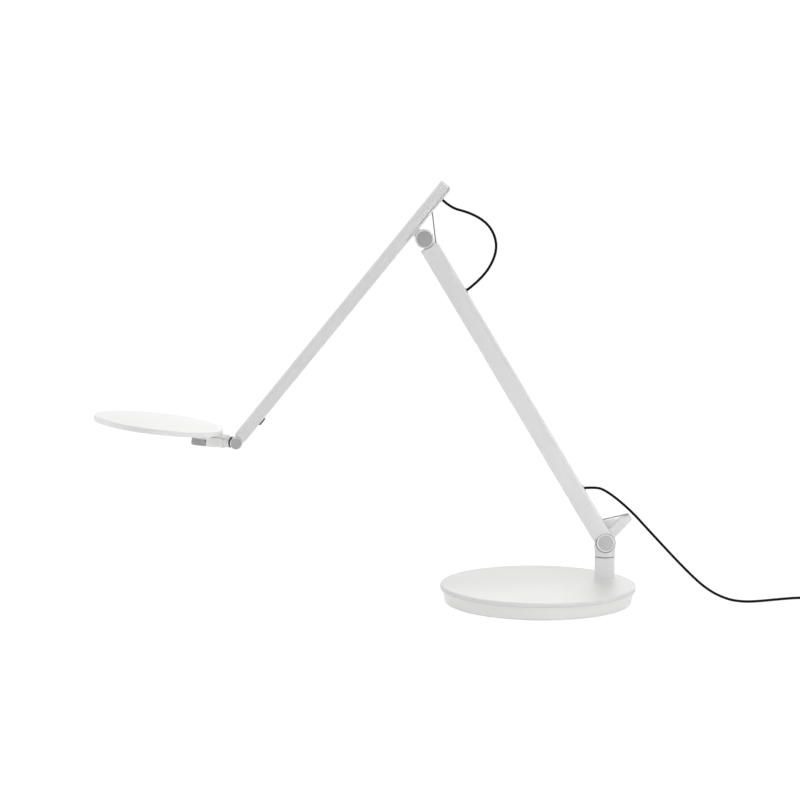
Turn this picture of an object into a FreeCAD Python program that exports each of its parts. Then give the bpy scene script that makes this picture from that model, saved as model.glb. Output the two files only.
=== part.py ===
import FreeCAD, Part
import Sketcher
import math
import os

V = FreeCAD.Vector
os.makedirs("parts", exist_ok=True)
doc = FreeCAD.newDocument("balance_lamp")

# Driving dimensions, in millimetres and degrees. The origin is the centre of the base's underside.
# +X runs from the lamp head towards the post, +Y away from the front of the lamp, +Z up.
SIZES = {
    # round foot
    "base_radius": 110,
    "base_level": 21.1,
    "plate_thick": 5.4,
    "plate_round": 1.6,
    "skirt_step": 2,
    "skirt_lean": 3,
    "skirt_round": 2.6,
    "skirt_wall": 2.4,
    "skirt_floor": 2,
    "seam_gap": 0.3,
    "foot_radius": 96,
    "foot_thick": 1.4,
    "foot_proud": 0.8,
    "weight_gap": 0.5,
    "screw_circle": 66,
    "screw_radius": 2,
    "screw_head": 3.7,
    "screw_thick": 0.8,
    "screw_grip": 9,
    # post, with the swivel at its top
    "post_x": 77.3,
    "post_y": 19.8,
    "post_radius": 11.35,
    "post_flare": 1.1,
    "post_wall": 3.3,
    "swivel_level": 48.1,
    "swivel_gap": 1.1,
    "flange_inset": 0.9,
    "bush_length": 14,
    "spindle_radius": 5,
    "stud_radius": 3,
    "stud_reach": 8.5,
    "nut_radius": 8,
    "nut_thick": 4,
    "nut_level": 2.6,
    "run_gap": 0.05,
    # knuckle joints
    "shoulder_level": 65.4,
    "yoke_swell": 0.85,
    "barrel_radius": 10.3,
    "saddle_gap": 0.9,
    "tongue_radius": 11.7,
    "tongue_thick": 10,
    "washer_thick": 0.5,
    "washer_radius": 7.6,
    "washer_gap": 0.1,
    "axle_radius": 3,
    "cap_radius": 8.6,
    "cap_thick": 1.3,
    "cap_gap": 0.12,
    # horn that holds the wire rope, with its web
    "horn_lean": 46.8,
    "horn_reach": 40.8,
    "horn_low": 4.1,
    "horn_high": 6.9,
    "horn_round": 3.2,
    "web_thick": 5,
    "rope_start_x": 39.7,
    "rope_start_z": 3.8,
    "rope_radius": 0.75,
    "ferrule_radius": 1.5,
    "ferrule_length": 4,
    # lower arm
    "lower_length": 400,
    "lower_lean": 30.9,
    "arm_depth": 21.4,
    "arm_width": 21.4,
    "arm_wall": 1.8,
    "back_round": 5.5,
    "front_round": 1.4,
    "end_setback": 9.8,
    "heel_setback": 4.6,
    "tip_setback": 10.2,
    "slot_top": 34,
    "root_gap": 0.1,
    "root_reach": 40,
    "guide_radius": 3,
    "guide_x": 2,
    "guide_z": 30,
    "bridge_x": 6,
    "bridge_z": 14,
    "low_cord_z": 65.9,
    "high_cord_drop": 73.8,
    "spring_radius": 5.2,
    "spring_wall": 1.6,
    "spring_start": 78,
    "spring_length": 120,
    "anchor_thick": 6,
    # upper arm
    "upper_rise": 50.74,
    "hinge_reach": 311.8,
    "hinge_offset": 18.6,
    "upper_under": 12.1,
    "upper_height": 14.2,
    "upper_round": 4.8,
    "upper_edge": 1.2,
    "tail_reach": 62.4,
    "tail_round": 4,
    "tray_thick": 2.1,
    "tray_start": 13.3,
    "tray_gap": 0.45,
    "neck_width": 10.4,
    "elbow_radius": 10.5,
    "saddle_radius": 11.4,
    "loop_z": 46.4,
    "rope_z": 28.5,
    "bumper_inset": 36.6,
    "bumper_length": 9.5,
    "bumper_width": 7,
    "bumper_proud": 2,
    "upper_spring": 4.2,
    "upper_guide": 2,
    "hinge_end": 7.3,
    # hinge and neck of the lamp head
    "head_tilt": 7,
    "hinge_radius": 7,
    "hinge_cap": 6,
    "hinge_tongue": 6,
    "hinge_pin": 2,
    "hinge_clear": 1.2,
    "link_radius": 7.1,
    "link_clear": 9.2,
    "neck_start": 13.3,
    "pan_x": 20.5,
    "pan_pin": 2.5,
    "lug_radius": 8.2,
    "hood_low": 3.9,
    "hood_high": 7.3,
    "hood_gap": 0.5,
    "neck_end": 50.6,
    "neck_half": 11.5,
    "neck_drop": 7.3,
    "neck_round": 1.6,
    # round lamp head
    "disc_radius": 73,
    "disc_centre": 89.8,
    "disc_top": 13.6,
    "disc_thick": 6,
    "disc_round": 2,
    "shell_wall": 1.6,
    "lens_gap": 0.2,
    "lens_inset": 3,
    "lens_thick": 1.6,
    "board_radius": 66,
    "board_thick": 1,
    # switch in the side of the neck
    "switch_x": 42,
    "switch_length": 16,
    "switch_height": 7.4,
    "switch_depth": 4,
    "switch_travel": 0.5,
    "switch_gap": 0.25,
    "switch_round": 3.4,
    # cords
    "cord_radius": 1.5,
    "grommet_radius": 3.4,
    "grommet_proud": 0.4,
    "grommet_gap": 1.15,
    "coil_x": 352,
    "coil_y": 34,
    "coil_mid": 17.5,
    "coil_turns": 12.25,
    "coil_pitch": 3.55,
    "plug_lead": 22,
    "plug_round": 4,
    "plug_length": 46,
    "plug_width": 34,
    "plug_height": 26,
    "blade_length": 16,
    "blade_width": 6.3,
    "blade_thick": 1.5,
    "blade_spread": 12.7,
    "relief_length": 20,
}
sheet = doc.addObject("Spreadsheet::Sheet", "Sizes")
for row, (alias, size) in enumerate(SIZES.items(), 1):
    sheet.set(f"A{row}", alias)
    sheet.set(f"B{row}", str(size))
    sheet.setAlias(f"B{row}", alias)
doc.recompute()


def size(alias):
    return float(sheet.get(alias))


def named(text):
    """Puts the sheet's name before each size in an expression."""
    words = sorted((w for w in SIZES if w in text), key=len, reverse=True)
    for number, word in enumerate(words):
        text = text.replace(word, f"<{number}>")
    for number, word in enumerate(words):
        text = text.replace(f"<{number}>", f"Sizes.{word}")
    return text


def bind(item, **sizes):
    for key, text in sizes.items():
        item.setExpression(key.replace("__", "."), named(str(text)))


def at(item, x="0", y="0", z="0"):
    bind(item, Placement__Base__x=x, Placement__Base__y=y, Placement__Base__z=z)
    return item


def box(name, length, width, height, x="0", y="0", z="0"):
    item = doc.addObject("Part::Box", name)
    bind(item, Length=length, Width=width, Height=height)
    return at(item, x, y, z)


TURNS = {
    "Z": FreeCAD.Rotation(),
    "X": FreeCAD.Rotation(V(0, 1, 0), 90),
    "Y": FreeCAD.Rotation(V(1, 0, 0), -90),
}


def rod(name, radius, height, x="0", y="0", z="0", along="Z"):
    """A cylinder that starts at x, y, z and runs along the axis named."""
    item = doc.addObject("Part::Cylinder", name)
    item.Placement = FreeCAD.Placement(V(0, 0, 0), TURNS[along])
    bind(item, Radius=radius, Height=height)
    return at(item, x, y, z)


def cross_rod(name, radius, half, x="0", z="0"):
    """A cylinder across the arms, centred on their middle plane."""
    return rod(name, radius, f"2*({half})", x, f"-({half})", z, "Y")


def cut(name, base, *tools):
    item = doc.addObject("Part::Cut", name)
    item.Base = base
    item.Tool = tools[0] if len(tools) == 1 else fuse(name + "_tools", *tools)
    return item


def fuse(name, *parts):
    item = doc.addObject("Part::MultiFuse", name)
    item.Shapes = list(parts)
    item.Refine = True
    return item


def common(name, *parts):
    item = doc.addObject("Part::MultiCommon", name)
    item.Shapes = list(parts)
    return item


def group(name, *parts):
    item = doc.addObject("Part::Compound", name)
    item.Links = list(parts)
    return item


def body(name):
    return doc.addObject("PartDesign::Body", name)


def sketch(owner, name, role, lift=None):
    plane = [f for f in owner.Origin.OriginFeatures if f.Role == role][0]
    item = owner.newObject("Sketcher::SketchObject", name)
    item.AttachmentSupport = [(plane, "")]
    item.MapMode = "FlatFace"
    if lift:
        bind(item, AttachmentOffset__Base__z=lift)
    return item


def pin_point(item, geometry, point, x, y, near):
    for kind, text, start in (("DistanceX", x, near[0]), ("DistanceY", y, near[1])):
        index = item.addConstraint(Sketcher.Constraint(kind, -1, 1, geometry, point, start))
        item.setExpression(f"Constraints[{index}]", named(text))


def outline(item, *points):
    """A closed polygon whose corners are expressions."""
    count = len(points)
    ring = []
    for number in range(count):
        turn = 2 * math.pi * number / count
        ring.append(V(30 * math.cos(turn), 30 * math.sin(turn), 0))
    first = item.GeometryCount
    for number in range(count):
        item.addGeometry(Part.LineSegment(ring[number], ring[(number + 1) % count]), False)
    for number in range(count):
        follows = first + (number + 1) % count
        item.addConstraint(Sketcher.Constraint("Coincident", first + number, 2, follows, 1))
    for number, (x, y) in enumerate(points):
        pin_point(item, first + number, 1, x, y, ring[number])


def rectangle(item, low_x, high_x, low_y, high_y):
    outline(item, (low_x, low_y), (high_x, low_y), (high_x, high_y), (low_x, high_y))


def circle(item, x, y, radius):
    index = item.addGeometry(Part.Circle(V(1, 1, 0), V(0, 0, 1), 3), False)
    pin_point(item, index, 3, x, y, (1, 1))
    reach = item.addConstraint(Sketcher.Constraint("Radius", index, 3))
    item.setExpression(f"Constraints[{reach}]", named(radius))


def pad(owner, name, profile, length, both=False):
    item = owner.newObject("PartDesign::Pad", name)
    item.Profile = profile
    item.Midplane = both
    bind(item, Length=length)
    return item


def pocket(owner, name, profile, length=None):
    """A cut to both sides of its sketch, right through where no length is given."""
    item = owner.newObject("PartDesign::Pocket", name)
    item.Profile = profile
    item.Midplane = True
    if length:
        bind(item, Length=length)
    else:
        item.Type = "ThroughAll"
    return item


def soften(owner, name, radius, wanted, kind="Fillet"):
    """Rounds or bevels the edges of the body so far that the test picks."""
    doc.recompute()
    base = owner.Tip
    edges = [f"Edge{n}" for n, e in enumerate(base.Shape.Edges, 1) if wanted(e)]
    item = owner.newObject("PartDesign::" + kind, name)
    item.Base = (base, edges)
    bind(item, **{"Radius" if kind == "Fillet" else "Size": radius})
    return item


def turned(name, *points):
    """A body turned about the Z axis from a profile in radius and height."""
    owner = body(name)
    profile = sketch(owner, name + "_profile", "XZ_Plane")
    outline(profile, *points)
    item = owner.newObject("PartDesign::Revolution", name + "_turn")
    item.Profile = profile
    item.ReferenceAxis = (profile, ["V_Axis"])
    item.Angle = 360
    return owner


def near(a, b):
    return abs(a - b) < 1e-4


def ring_edge(radius, level):
    """Picks a full circle about the Z axis."""
    return lambda e: (
        isinstance(e.Curve, Part.Circle)
        and near(e.Curve.Radius, radius)
        and near(e.CenterOfMass.z, level)
    )


def ridge(test):
    """Picks straight edges that run along the Z axis."""
    return lambda e: (
        isinstance(e.Curve, Part.Line)
        and abs(e.tangentAt(e.FirstParameter).z) > 0.999
        and test(e.CenterOfMass)
    )


NODES = {}


def node(name, item):
    item.Label = name
    NODES[name] = item
    return item


# ---------------------------------------------------------------- round foot
SEAM = "base_level - plate_thick"
SKIRT_TOP = f"{SEAM} - seam_gap"
RIM = "base_radius - skirt_step"

# Pressed steel top plate: a flat disc with a soft edge and the hole for the post's spindle.
plate = body("plate_body")
plate_face = sketch(plate, "plate_face", "XY_Plane", SEAM)
circle(plate_face, "0", "0", "base_radius")
circle(plate_face, "post_x", "post_y", "spindle_radius + run_gap")
pad(plate, "plate_pad", plate_face, "plate_thick")
soften(plate, "plate_edge", "plate_round", ring_edge(size("base_radius"), size("base_level")))
soften(
    plate,
    "plate_under",
    "plate_round / 2",
    ring_edge(size("base_radius"), size("base_level") - size("plate_thick")),
)
node("base_top_plate", plate)

# Skirt below the seam: a shallow moulded dish that leans in towards the desk.
skirt = turned(
    "skirt_body",
    ("0", "foot_proud"),
    (f"{RIM} - skirt_lean", "foot_proud"),
    (RIM, SKIRT_TOP),
    (f"{RIM} - skirt_wall", SKIRT_TOP),
    (f"{RIM} - skirt_wall - skirt_lean*0.8", "foot_proud + skirt_floor"),
    ("0", "foot_proud + skirt_floor"),
)
soften(
    skirt,
    "skirt_edge",
    "skirt_round",
    ring_edge(size("base_radius") - size("skirt_step") - size("skirt_lean"), size("foot_proud")),
)
corner = "screw_circle * 0.7071"
SCREWS = [(f"{i}{corner}", f"{j}{corner}") for i in ("", "-") for j in ("", "-")]
skirt_holes = [
    rod(f"skirt_hole_{n}", "screw_radius + cap_gap", "base_level", x, y)
    for n, (x, y) in enumerate(SCREWS)
]
skirt_sinks = [
    rod(f"skirt_sink_{n}", "screw_head + cap_gap", "foot_thick + screw_thick", x, y)
    for n, (x, y) in enumerate(SCREWS)
]
nut_well = rod("nut_well", "nut_radius + 1", "foot_proud + skirt_floor", "post_x", "post_y")
foot_seat = rod("foot_seat", "foot_radius", "foot_thick")
node("base_skirt", cut("skirt_cut", skirt, *skirt_holes, *skirt_sinks, nut_well, foot_seat))

# Cast iron weight that fills the dish.
WEIGHT_LOW = "foot_proud + skirt_floor"
weight_disc = rod(
    "weight_disc",
    f"{RIM} - skirt_wall - skirt_lean - weight_gap",
    f"{SEAM} - ({WEIGHT_LOW})",
    z=WEIGHT_LOW,
)
weight_holes = [
    rod(f"weight_hole_{n}", "screw_radius", "screw_grip", x, y) for n, (x, y) in enumerate(SCREWS)
]
weight_bore = rod("weight_bore", "spindle_radius + run_gap", "base_level", "post_x", "post_y")
weight_well = rod("weight_well", "nut_radius + 1", "nut_level + nut_thick", "post_x", "post_y")
weight_cut = cut("weight_cut", weight_disc, *weight_holes, weight_bore, weight_well)
node("base_weight", weight_cut)

# Rubber pad on which the lamp stands. It also covers the screws.
node("foot_pad", rod("foot_disc", "foot_radius - cap_gap", "foot_thick"))

# Four screws that pull the dish up to the weight.
screws = []
for n, (x, y) in enumerate(SCREWS):
    head = rod(f"screw_head_{n}", "screw_head", "screw_thick", x, y, "foot_thick")
    shank = rod(f"screw_shank_{n}", "screw_radius", "screw_grip - foot_thick", x, y, "foot_thick")
    screws.append(fuse(f"screw_{n}", head, shank))
node("base_screws", group("screw_set", *screws))

# ---------------------------------------------------------------- post
# Turned sleeve with a small flare where it meets the plate.
sleeve = turned(
    "sleeve_body",
    ("post_radius - post_wall", "base_level"),
    ("post_radius + post_flare", "base_level"),
    ("post_radius + post_flare * 0.4", "base_level + post_flare * 0.5"),
    ("post_radius", "base_level + post_flare * 1.6"),
    ("post_radius", "swivel_level"),
    ("post_radius - post_wall", "swivel_level"),
)
soften(
    sleeve,
    "sleeve_top",
    "run_gap * 8",
    ring_edge(size("post_radius"), size("swivel_level")),
)
node("post_sleeve", at(sleeve, "post_x", "post_y"))

# Flanged nylon bush that shows as the dark line of the swivel.
bush = turned(
    "bush_body",
    ("spindle_radius + run_gap", "swivel_level - bush_length"),
    ("post_radius - post_wall - run_gap", "swivel_level - bush_length"),
    ("post_radius - post_wall - run_gap", "swivel_level"),
    ("post_radius - flange_inset", "swivel_level"),
    ("post_radius - flange_inset", "swivel_level + swivel_gap - washer_gap"),
    ("spindle_radius + run_gap", "swivel_level + swivel_gap - washer_gap"),
)
node("swivel_bush", at(bush, "post_x", "post_y"))

# Steel spindle on which the shoulder turns, with a thinner stud at its top.
YOKE_LOW = "swivel_level + swivel_gap"
spindle_low = rod(
    "spindle_low",
    "spindle_radius",
    f"{YOKE_LOW} - washer_gap - foot_proud - 1",
    z="foot_proud + 1",
)
spindle_top = rod("spindle_top", "stud_radius", "stud_reach", z=f"{YOKE_LOW} - washer_gap")
spindle = fuse("spindle", spindle_low, spindle_top)
node("post_spindle", at(spindle, "post_x", "post_y"))

# Hexagon nut below the weight.
nut = doc.addObject("Part::Prism", "nut_hexagon")
bind(nut, Polygon="6", Circumradius="nut_radius", Height="nut_thick")
nut_bore = rod("nut_bore", "spindle_radius + run_gap", "nut_thick")
nut_cut = cut("nut_cut", at(nut, z="0"), nut_bore)
node("spindle_nut", at(nut_cut, "post_x", "post_y", "nut_level"))

# ---------------------------------------------------------------- shoulder
HALF = "arm_depth / 2"
SLOT = "tongue_thick / 2 + washer_thick + washer_gap"
DROP = "shoulder_level - swivel_level - swivel_gap"

# Yoke: a short round column hollowed to a saddle for the arm's barrel, with a tongue up its middle.
column = doc.addObject("Part::Cone", "column")
bind(
    column,
    Radius1="post_radius",
    Radius2="post_radius + yoke_swell",
    Height=f"{DROP} - 4",
)
at(column, z=f"-({DROP})")
saddle = cross_rod("saddle", "barrel_radius + saddle_gap", "post_radius * 2")
column_cut = cut("column_cut", column, saddle)
tongue_round = cross_rod("tongue_round", "tongue_radius", "tongue_thick / 2")
tongue_stem = box(
    "tongue_stem",
    "2 * (tongue_radius - 1.8)",
    "tongue_thick",
    f"{DROP} - 4",
    "-(tongue_radius - 1.8)",
    "-tongue_thick / 2",
    f"-({DROP} - 2)",
)
# Horn: a blunt finger that leans back from the shoulder. Its frame runs along the finger.
horn = body("horn_body")
horn_face = sketch(horn, "horn_face", "XZ_Plane")
outline(
    horn_face,
    ("0", "-horn_low"),
    ("horn_reach", "-horn_low"),
    ("horn_reach", "1.8"),
    ("horn_reach - 9.4", "horn_high"),
    ("0", "horn_high"),
)
pad(horn, "horn_pad", horn_face, "tongue_thick", True)
soften(
    horn,
    "horn_tip",
    "horn_round",
    lambda e: isinstance(e.Curve, Part.Line)
    and abs(e.tangentAt(0).y) > 0.99
    and near(e.CenterOfMass.x, size("horn_reach")),
)
# Web: the thin plate below the rope, which swings into the slot in the arm's back.
web = body("web_body")
web_face = sketch(web, "web_face", "XZ_Plane")
outline(
    web_face,
    ("8", "0"),
    ("horn_reach - 10", "0"),
    ("horn_reach - 10", "horn_high - 0.6"),
    ("14.8", "19"),
    ("10.4", "9"),
)
pad(web, "web_pad", web_face, "web_thick", True)


# ---------------------------------------------------------------- places of the moving parts
class Place:
    """A turned frame in the middle plane of the arms, with its origin and its two directions."""

    def __init__(self, origin, turn, side):
        self.origin = origin
        self.turn = turn
        self.side = side

    def to(self, x, z, y=0.0):
        return self.origin + FreeCAD.Rotation(V(0, self.side, 0), self.turn).multVec(V(x, y, z))

    def way(self, x, z, y=0.0):
        return FreeCAD.Rotation(V(0, self.side, 0), self.turn).multVec(V(x, y, z))


SHOULDER = Place(V(size("post_x"), size("post_y"), size("shoulder_level")), 0, 1)
HORN = Place(SHOULDER.origin, size("horn_lean"), -1)
LOWER = Place(SHOULDER.origin, size("lower_lean"), -1)
UPPER = Place(LOWER.to(0, size("lower_length")), 90 - size("upper_rise"), 1)
HEAD = Place(UPPER.to(-size("hinge_offset"), -size("hinge_reach")), size("head_tilt"), 1)

ELBOW_X = "post_x - lower_length * sin(lower_lean * 1deg)"
ELBOW_Z = "shoulder_level + lower_length * cos(lower_lean * 1deg)"
HINGE_X = f"{ELBOW_X} - hinge_offset * sin(upper_rise * 1deg) - hinge_reach * cos(upper_rise * 1deg)"
HINGE_Z = f"{ELBOW_Z} + hinge_offset * cos(upper_rise * 1deg) - hinge_reach * sin(upper_rise * 1deg)"


def place(item, x, z, angle, side):
    item.Placement = FreeCAD.Placement(V(0, 0, 0), FreeCAD.Rotation(V(0, side, 0), 10))
    bind(item, Placement__Rotation__Angle=angle)
    return at(item, x, "post_y", z)


def on_lower(item):
    return place(item, "post_x", "shoulder_level", "lower_lean", -1)


def on_upper(item):
    return place(item, ELBOW_X, ELBOW_Z, "90 - upper_rise", 1)


def on_head(item):
    return place(item, HINGE_X, HINGE_Z, "head_tilt", 1)


def axle(name, radius, x="0", z="0"):
    """A pin across the arm that ends below the caps."""
    return group(name, cross_rod(name + "_rod", radius, f"{HALF} - cap_thick", x, z))


def shaped(name, shape):
    item = doc.addObject("Part::Feature", name)
    item.Shape = shape
    return item


finger = fuse("horn_and_web", horn, web)
finger.Placement = FreeCAD.Placement(V(0, 0, 0), FreeCAD.Rotation(V(0, -1, 0), 10))
bind(finger, Placement__Rotation__Angle="horn_lean")

# The rope runs from the horn's tip to a round guide inside the arm, then up to the spring.
GUIDE_PATH = size("guide_radius") + size("rope_radius") + size("run_gap")
rope_tip = HORN.to(size("rope_start_x"), size("rope_start_z"))
guide_low = LOWER.to(size("guide_x"), size("guide_z"))
to_guide = guide_low - rope_tip
swing = math.degrees(math.asin(GUIDE_PATH / to_guide.Length))
rope_way = FreeCAD.Rotation(V(0, 1, 0), -swing).multVec(to_guide).normalize()
rope_touch = rope_tip + rope_way * math.sqrt(to_guide.Length**2 - GUIDE_PATH**2)
FERRULE = size("ferrule_length")
ferrule_seat = shaped(
    "ferrule_seat",
    Part.makeCylinder(
        size("ferrule_radius") + size("cap_gap"),
        FERRULE * 2,
        rope_tip - rope_way * FERRULE * 1.5 - SHOULDER.origin,
        rope_way,
    ),
)
yoke_spindle_bore = rod(
    "yoke_spindle_bore",
    "stud_radius + run_gap",
    "stud_reach + washer_gap",
    z=f"-({DROP})",
)
yoke_axle_bore = cross_rod("yoke_axle_bore", "axle_radius + run_gap", "arm_depth")
yoke = cut(
    "yoke_cut",
    fuse("yoke_solid", column_cut, tongue_round, tongue_stem, finger),
    ferrule_seat,
    yoke_spindle_bore,
    yoke_axle_bore,
)
node("shoulder_yoke", at(yoke, "post_x", "post_y", "shoulder_level"))

ferrule_out = Part.makeCylinder(size("ferrule_radius"), FERRULE, rope_tip - rope_way * FERRULE / 2, rope_way)
ferrule_in = Part.makeCylinder(
    size("rope_radius") + size("cap_gap"), FERRULE * 0.8, rope_tip - rope_way * FERRULE * 0.3, rope_way
)
node("horn_ferrule", shaped("horn_ferrule_shape", ferrule_out.cut(ferrule_in)))


def swept(path, radius):
    """A round tube along edges that meet in line."""
    wire = Part.Wire(path)
    start = path[0].valueAt(path[0].FirstParameter)
    way = path[0].tangentAt(path[0].FirstParameter)
    ring = Part.Wire([Part.Circle(start, way, radius).toShape()])
    shell = Part.BRepOffsetAPI.MakePipeShell(wire)
    shell.add(ring)
    shell.build()
    shell.makeSolid()
    solid = shell.shape()
    wanted = math.pi * radius**2 * wire.Length
    if abs(solid.Volume - wanted) > 0.01 * wanted:
        raise ValueError(f"tube volume {solid.Volume:.1f}, not {wanted:.1f}")
    return solid, wire.Length


def wrap(first, touch, centre, leave, last):
    """Straight, round a guide, straight."""
    mid = (touch + leave) * 0.5 - centre
    top = centre + mid.normalize() * (touch - centre).Length
    return [
        Part.LineSegment(first, touch).toShape(),
        Part.Arc(touch, top, leave).toShape(),
        Part.LineSegment(leave, last).toShape(),
    ]


rope_leave = LOWER.to(size("guide_x") - GUIDE_PATH, size("guide_z"))
rope_last = LOWER.to(size("guide_x") - GUIDE_PATH, size("spring_start") - 1)
low_rope, _ = swept(wrap(rope_tip, rope_touch, guide_low, rope_leave, rope_last), size("rope_radius"))
node("shoulder_rope", shaped("shoulder_rope_shape", low_rope))

# ---------------------------------------------------------------- lower arm
# Tube: a hollow extrusion, flat at the sides, full and round at the back, crisp at the front.
WIDE = "arm_width / 2"
LOWER_TOP = "lower_length - tip_setback"


def section(owner, name, low_x, high_x, half, start, length, rounds):
    """A prism along Z with its two rear and two front ridges rounded."""
    face = sketch(owner, name + "_face", "XY_Plane", start)
    rectangle(face, low_x, high_x, f"-({half})", half)
    pad(owner, name + "_pad", face, length)
    for number, (radius, test) in enumerate(rounds):
        soften(owner, f"{name}_round_{number}", radius, ridge(test))


def hollow(owner, name, low_x, high_x, half):
    face = sketch(owner, name + "_face", "XY_Plane")
    rectangle(face, low_x, high_x, f"-({half})", half)
    pocket(owner, name + "_pocket", face)


tube = body("lower_tube_body")
section(
    tube,
    "lower_tube",
    f"-{WIDE}",
    WIDE,
    HALF,
    "heel_setback",
    f"{LOWER_TOP} - heel_setback",
    [("back_round", lambda c: c.x > 0), ("front_round", lambda c: c.x < 0)],
)
hollow(tube, "lower_hollow", f"-({WIDE} - arm_wall)", f"{WIDE} - arm_wall", f"{HALF} - arm_wall")
soften(
    tube,
    "lower_hollow_round",
    "back_round - arm_wall",
    ridge(lambda c: near(c.x, size("arm_width") / 2 - size("arm_wall"))),
)
lower_ends = sketch(tube, "lower_front_end", "XZ_Plane")
rectangle(lower_ends, "-arm_width", "0", "-end_setback", "end_setback")
pocket(tube, "lower_front_cut", lower_ends)
lower_heel = sketch(tube, "lower_heel", "XZ_Plane")
circle(lower_heel, "0", "0", "barrel_radius + root_gap * 5")
pocket(tube, "lower_heel_cut", lower_heel)
lower_tip = sketch(tube, "lower_tip", "XZ_Plane")
circle(lower_tip, "0", "lower_length", "saddle_radius")
pocket(tube, "lower_tip_cut", lower_tip)
lower_slot = sketch(tube, "lower_slot", "XZ_Plane")
rectangle(lower_slot, "guide_x", "arm_width", "-slot_top", "slot_top")
pocket(tube, "lower_slot_cut", lower_slot, f"2 * ({SLOT})")
lower_notch = sketch(tube, "lower_notch", "XZ_Plane")
rectangle(lower_notch, "guide_x * 2", "arm_width", f"{LOWER_TOP} - 5", "lower_length")
pocket(tube, "lower_notch_cut", lower_notch, "4 * ferrule_radius * 0.6")
HIGH_CORD = "lower_length - high_cord_drop"
cord_holes = [
    rod(f"cord_hole_{n}", "grommet_radius", "arm_width", "0", "0", z, "X")
    for n, z in enumerate(("low_cord_z", HIGH_CORD))
]
node("lower_arm_tube", on_lower(cut("lower_arm_cut", tube, *cord_holes)))

# Core: the space inside the tube, which the castings at its ends fill.
core = body("lower_core_body")
section(
    core,
    "lower_core",
    f"-({WIDE} - arm_wall - root_gap)",
    f"{WIDE} - arm_wall - root_gap",
    f"{HALF} - arm_wall - root_gap",
    "-barrel_radius",
    "lower_length + barrel_radius",
    [("back_round - arm_wall", lambda c: c.x > 0)],
)


def band(name, owner, low, high):
    """The stretch of a core between two heights."""
    slab = box(
        name + "_slab",
        "4 * arm_width",
        "4 * arm_width",
        f"({high}) - ({low})",
        "-2 * arm_width",
        "-2 * arm_width",
        low,
    )
    return common(name + "_band", owner, slab)


def cheeks(name, radius, slot, x="0", z="0"):
    """Two round cheeks either side of a slot across the arm."""
    whole = cross_rod(name + "_whole", radius, HALF, x, z)
    gap = cross_rod(name + "_gap", f"2 * ({radius})", slot, x, z)
    return cut(name + "_pair", whole, gap)


def cap_seats(name, radius, thick, x="0", z="0"):
    """Shallow round seats for the caps, and the bore between them."""
    whole = cross_rod(name + "_seat", f"{radius} + cap_gap", "arm_depth", x, z)
    stay = cross_rod(name + "_stay", "arm_width", f"{HALF} - {thick}", x, z)
    return cut(name + "_seats", whole, stay)


def caps(name, radius, thick, x="0", z="0"):
    whole = cross_rod(name + "_whole", radius, f"{HALF} - cap_gap", x, z)
    stay = cross_rod(name + "_stay", "arm_width", f"{HALF} - {thick}", x, z)
    return cut(name + "_pair", whole, stay)


def washers(name, x="0", z="0"):
    whole = cross_rod(name + "_whole", "washer_radius", SLOT, x, z)
    stay = cross_rod(name + "_stay", "arm_width", f"{SLOT} - washer_thick", x, z)
    bore = cross_rod(name + "_bore", "axle_radius + run_gap", "arm_depth", x, z)
    return cut(name + "_pair", whole, stay, bore)


# Shoulder fork: a casting with two round cheeks, open at the back for the yoke's tongue and web.
fork_slab = box(
    "fork_slab",
    "arm_width",
    "2 * arm_width",
    "root_reach - barrel_radius + 2.4",
    "-bridge_x",
    "-arm_width",
    "barrel_radius - 2.4",
)
fork_root = common("fork_root", core, fork_slab)
fork_open = box("fork_open", "arm_width", f"2 * ({SLOT})", "2 * root_reach", "-bridge_x", f"-({SLOT})", "0")
fork_bridge = band("fork_bridge", core, "bridge_z", "root_reach")
fork_front = box(
    "fork_front",
    "arm_width",
    "2 * arm_width",
    "2 * root_reach",
    "-arm_width - bridge_x",
    "-arm_width",
    "0",
)
fork_sides = cut("fork_sides", fork_root, fork_open)
fork_back = common("fork_back", fork_bridge, fork_front)
fork_cheeks = cheeks("fork_cheeks", "barrel_radius", SLOT)
fork = cut(
    "fork_cut",
    fuse("fork_solid", fork_sides, fork_back, fork_cheeks),
    cap_seats("fork", "cap_radius", "cap_thick"),
    cross_rod("fork_bore", "axle_radius + run_gap", "arm_depth"),
    cross_rod("fork_guide_bore", "guide_radius / 2 + run_gap", "arm_depth", "guide_x", "guide_z"),
)
node("shoulder_fork", on_lower(fork))
node("shoulder_axle", on_lower(axle("shoulder_axle_set", "axle_radius")))
node("shoulder_caps", on_lower(caps("shoulder_cap", "cap_radius", "cap_thick")))
node("shoulder_washers", on_lower(washers("shoulder_washer")))
guide_barrel = cross_rod("guide_barrel", "guide_radius", SLOT, "guide_x", "guide_z")
guide_pin = cross_rod("guide_pin", "guide_radius / 2", f"{HALF} - arm_wall - root_gap", "guide_x", "guide_z")
node("shoulder_guide", on_lower(fuse("shoulder_guide_solid", guide_barrel, guide_pin)))

# Extension spring of the shoulder, with its hooks closed, and the block that holds it.
ROPE_X = "guide_x - guide_radius - rope_radius - run_gap"
spring_out = rod("spring_out", "spring_radius", "spring_length", ROPE_X, "0", "spring_start")
spring_in = rod(
    "spring_in",
    "spring_radius - spring_wall",
    "spring_length - 2 * spring_wall",
    ROPE_X,
    "0",
    "spring_start + spring_wall",
)
node("shoulder_spring", on_lower(cut("shoulder_spring_cut", spring_out, spring_in)))
SPRING_TOP = "spring_start + spring_length"
node("shoulder_anchor", on_lower(band("shoulder_anchor", core, SPRING_TOP, f"{SPRING_TOP} + anchor_thick")))

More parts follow.
